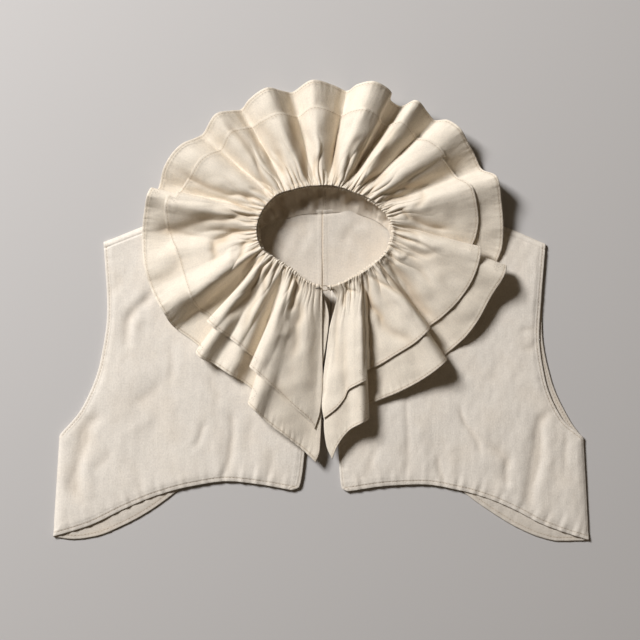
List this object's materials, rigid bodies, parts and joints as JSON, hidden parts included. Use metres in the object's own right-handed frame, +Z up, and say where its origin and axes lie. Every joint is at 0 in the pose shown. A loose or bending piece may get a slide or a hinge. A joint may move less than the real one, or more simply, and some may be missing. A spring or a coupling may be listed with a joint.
{
  "type": "ruff collar bodice",
  "caption": "Short sleeveless bodice of unbleached cotton, open at the front, laid flat, with a tiered gathered ruff collar.",
  "frame": {"origin": "centre of the bounding box, on the surface that the bodice lies on", "axes": "+X towards the wearer's left side, the longest way; +Y from the hem towards the head; +Z up, out of the surface, with the front of the bodice uppermost"},
  "size_m": [0.4742, 0.4058, 0.0275],
  "materials": {
    "muslin": "unbleached plain-weave cotton muslin with fine slubs, matt, with narrow stitched hems",
    "thread": "cream cotton sewing thread",
    "hook_metal": "small dull wire hook"
  },
  "bodies": {
    "root": {"front_right": "muslin", "front_left": "muslin", "back_right": "muslin", "back_left": "muslin", "neck_stand": "muslin", "neck_casing": "muslin", "ruffle_lower": "muslin", "ruffle_upper": "muslin", "neck_loop": "thread", "neck_hook": "hook_metal"}
  },
  "joints": []
}
